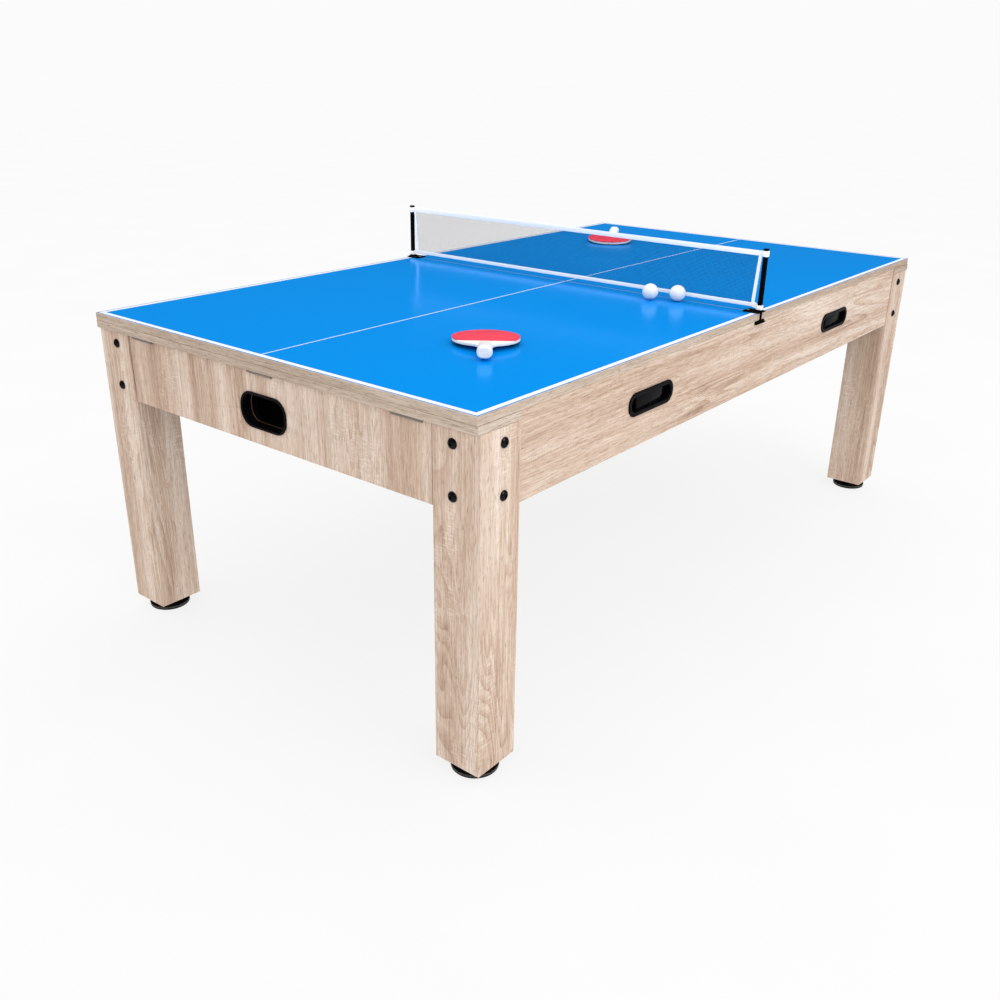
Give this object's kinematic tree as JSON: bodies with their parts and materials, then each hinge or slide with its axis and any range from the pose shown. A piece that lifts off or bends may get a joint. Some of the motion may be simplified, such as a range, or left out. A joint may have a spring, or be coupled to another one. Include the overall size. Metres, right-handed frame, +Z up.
{
  "type": "pool table",
  "caption": "Seven-foot pool table with oak-look legs and aprons, wearing its blue table-tennis top with net, bats and balls; a hinged end flap opens the ball return.",
  "frame": {"origin": "on the floor, under the middle of the table", "axes": "+X along the table, away from the end with the ball flap; +Y to the left of someone facing +X; +Z up"},
  "size_m": [2.13, 1.1756, 0.922],
  "materials": {
    "oak_laminate": "light oak woodgrain laminate on MDF, satin",
    "oak_edging": "slightly greyer oak edging band, satin",
    "black_plastic": "moulded black plastic, low sheen",
    "black_steel": "black finished bolts and pressed bracket",
    "zinc_steel": "dull zinc plate",
    "bed_board": "bare board",
    "beam_wood": "planed softwood",
    "blue_cloth": "woven and brushed cloth",
    "cushion_cloth": "rubber under the same cloth",
    "gully_plastic": "formed dark plastic",
    "trough_board": "black stained board",
    "blue_top": "smooth blue lacquer on MDF with printed white lines, oak edges",
    "net_white": "fine mesh with white tapes",
    "bat_red": "plywood blade with a red rubber and a white painted handle",
    "ball_white": "white ball plastic"
  },
  "bodies": {
    "frame": {"apron_left": "oak_laminate", "apron_rear": "oak_laminate", "apron_right": "oak_laminate", "ball_trough": "trough_board", "bed": "bed_board", "bed_beam_front": "beam_wood", "bed_beam_rear": "beam_wood", "bed_cloth": "blue_cloth", "corner_bolts_front_left": "black_steel", "corner_bolts_front_right": "black_steel", "corner_bolts_rear_left": "black_steel", "corner_bolts_rear_right": "black_steel", "cushion_front_end": "cushion_cloth", "cushion_left_front": "cushion_cloth", "cushion_left_rear": "cushion_cloth", "cushion_rear_end": "cushion_cloth", "cushion_right_front": "cushion_cloth", "cushion_right_rear": "cushion_cloth", "end_rail_front": "oak_edging", "end_rail_rear": "oak_edging", "gully_left": "gully_plastic", "gully_right": "gully_plastic", "hinge_fixed_left": "zinc_steel", "hinge_fixed_middle": "zinc_steel", "hinge_fixed_right": "zinc_steel", "leg_front_left": "oak_laminate", "leg_front_right": "oak_laminate", "leg_rear_left": "oak_laminate", "leg_rear_right": "oak_laminate", "long_rail_left": "oak_laminate", "long_rail_right": "oak_laminate", "pocket_front_left": "black_plastic", "pocket_front_right": "black_plastic", "pocket_middle_left": "black_plastic", "pocket_middle_right": "black_plastic", "pocket_rear_left": "black_plastic", "pocket_rear_right": "black_plastic", "tray_left_front": "black_plastic", "tray_left_rear": "black_plastic", "tray_right_front": "black_plastic", "tray_right_rear": "black_plastic"},
    "tennis_top": {"net": "net_white", "net_post_left": "black_plastic", "net_post_right": "black_plastic", "tennis_top_front": "blue_top", "tennis_top_rear": "blue_top"},
    "flap": {"ball_flap": "oak_laminate", "ball_window": "black_plastic", "hinge_moving_left": "zinc_steel", "hinge_moving_middle": "zinc_steel", "hinge_moving_right": "zinc_steel"},
    "foot_front_left": {"foot_front_left": "black_plastic"},
    "foot_front_right": {"foot_front_right": "black_plastic"},
    "foot_rear_left": {"foot_rear_left": "black_plastic"},
    "foot_rear_right": {"foot_rear_right": "black_plastic"},
    "bat_front": {"bat_front": "bat_red"},
    "bat_rear": {"bat_rear": "bat_red"},
    "ball_left": {"ball_left": "ball_white"},
    "ball_right": {"ball_right": "ball_white"}
  },
  "joints": [
    {"name": "tennis_top_lift", "type": "slide", "parent": "frame", "child": "tennis_top", "axis": [0, 0, 1], "range_m": [0, 0.25]},
    {"name": "flap_hinge", "type": "hinge", "parent": "frame", "child": "flap", "pos_m": [-1.0586, 0, 0.7314], "axis": [0, 1, 0], "range_deg": [0, 95]},
    {"name": "foot_front_left_screw", "type": "slide", "parent": "frame", "child": "foot_front_left", "axis": [0, 0, 1], "range_m": [-0.015, 0]},
    {"name": "foot_front_right_screw", "type": "slide", "parent": "frame", "child": "foot_front_right", "axis": [0, 0, 1], "range_m": [-0.015, 0]},
    {"name": "foot_rear_left_screw", "type": "slide", "parent": "frame", "child": "foot_rear_left", "axis": [0, 0, 1], "range_m": [-0.015, 0]},
    {"name": "foot_rear_right_screw", "type": "slide", "parent": "frame", "child": "foot_rear_right", "axis": [0, 0, 1], "range_m": [-0.015, 0]},
    {"name": "bat_front_lift", "type": "slide", "parent": "tennis_top", "child": "bat_front", "axis": [0, 0, 1], "range_m": [0, 0.25]},
    {"name": "bat_rear_lift", "type": "slide", "parent": "tennis_top", "child": "bat_rear", "axis": [0, 0, 1], "range_m": [0, 0.25]},
    {"name": "ball_left_lift", "type": "slide", "parent": "tennis_top", "child": "ball_left", "axis": [0, 0, 1], "range_m": [0, 0.25]},
    {"name": "ball_right_lift", "type": "slide", "parent": "tennis_top", "child": "ball_right", "axis": [0, 0, 1], "range_m": [0, 0.25]}
  ]
}
